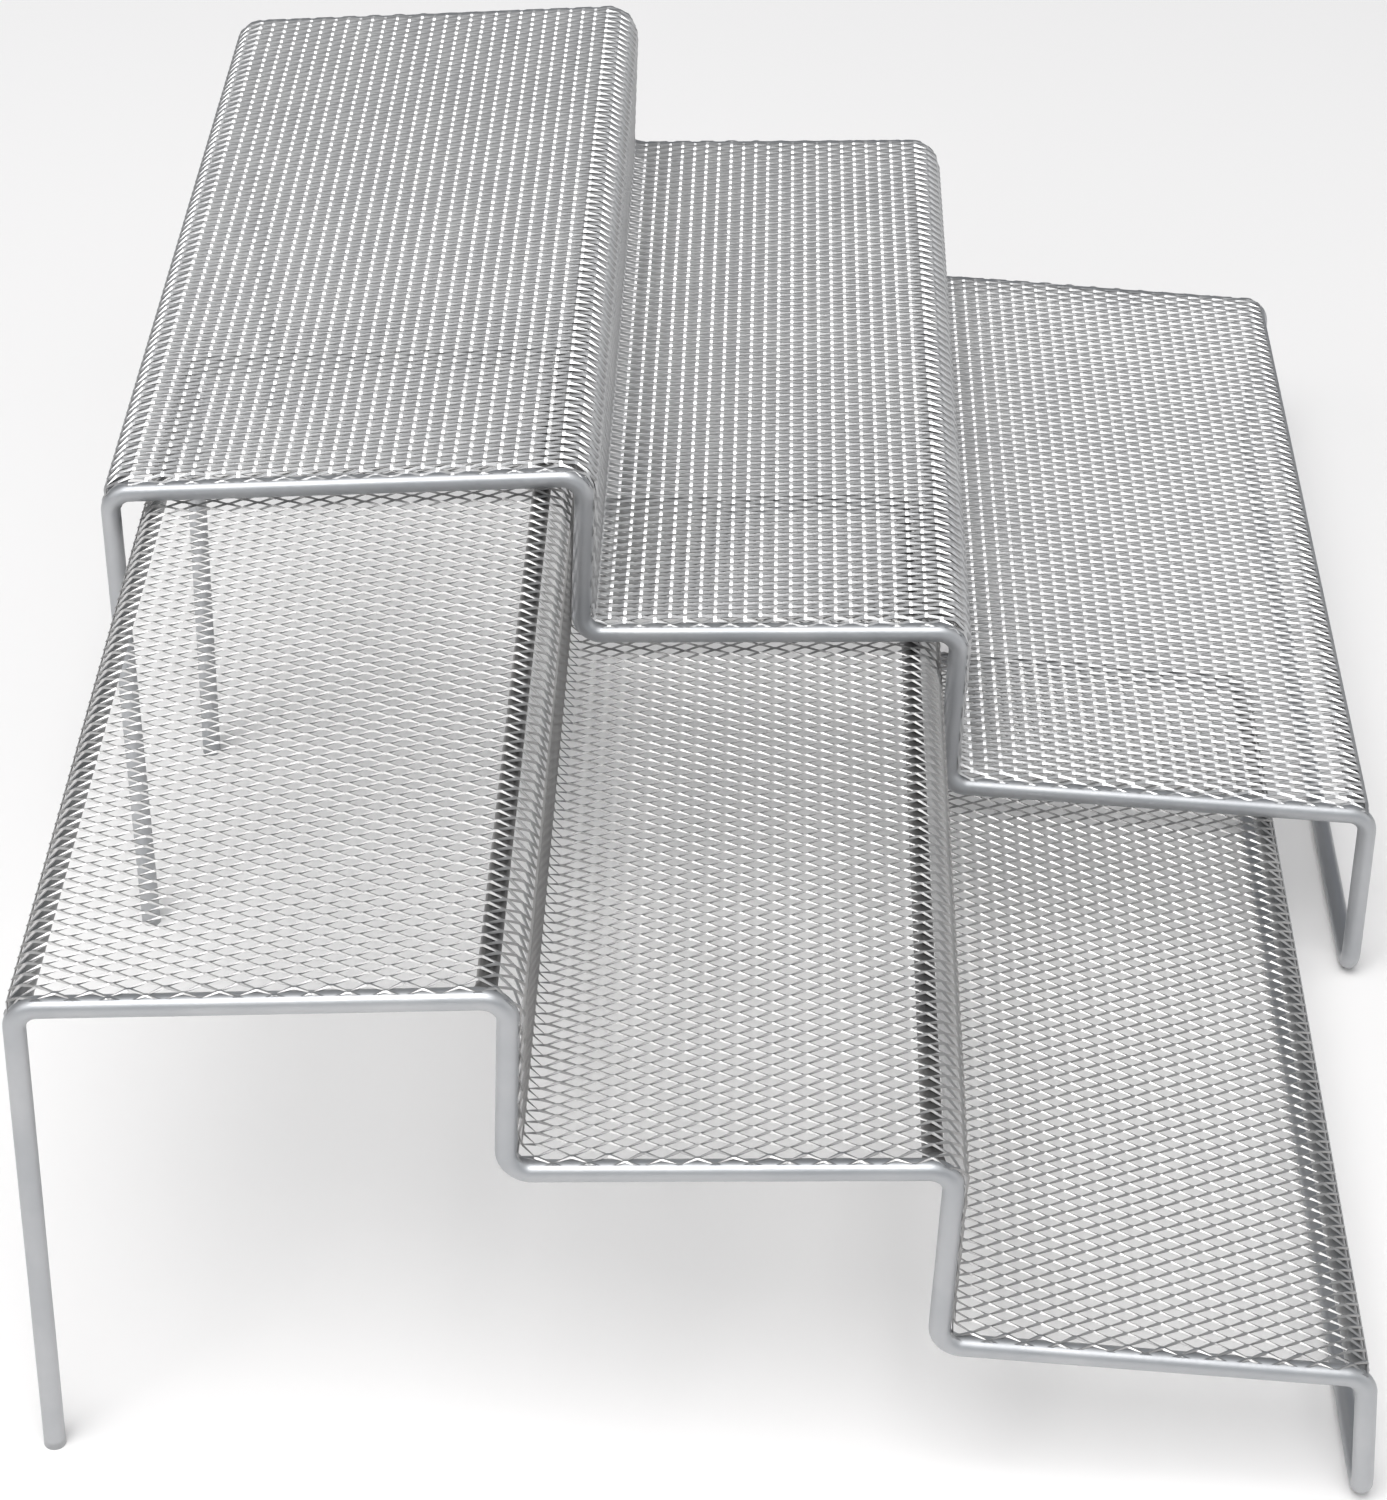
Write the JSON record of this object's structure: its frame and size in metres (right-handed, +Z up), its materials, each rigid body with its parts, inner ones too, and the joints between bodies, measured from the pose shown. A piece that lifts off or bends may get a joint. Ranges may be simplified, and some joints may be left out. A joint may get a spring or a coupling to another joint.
{
  "type": "tiered shelf riser",
  "caption": "Expandable step shelf: nesting halves of bent wire and folded diamond mesh slide over each other to set its length.",
  "frame": {"origin": "bottom centre of the whole shelf's box, with the halves drawn out as at rest, at floor level", "axes": "+X along the expansion, from the inner (lower) half to the outer (higher) half; -Y towards the front, where the low tier is; +Z up"},
  "size_m": [0.393, 0.2684, 0.1186],
  "materials": {
    "painted_wire": "satin silver-grey powder coat",
    "painted_mesh": "satin silver-grey powder coat on expanded metal"
  },
  "bodies": {
    "inner_half": {"inner_frame": "painted_wire", "inner_mesh_deck": "painted_mesh", "inner_rear_edge_rod": "painted_wire", "inner_upper_fold_rod": "painted_wire", "inner_lower_fold_rod": "painted_wire", "inner_front_edge_rod": "painted_wire"},
    "outer_half": {"outer_frame": "painted_wire", "outer_mesh_deck": "painted_mesh", "outer_rear_edge_rod": "painted_wire", "outer_upper_fold_rod": "painted_wire", "outer_lower_fold_rod": "painted_wire", "outer_front_edge_rod": "painted_wire"}
  },
  "joints": [
    {"name": "expand_slide", "type": "slide", "parent": "inner_half", "child": "outer_half", "axis": [1, 0, 0], "range_m": [-0.159, 0.036]}
  ]
}
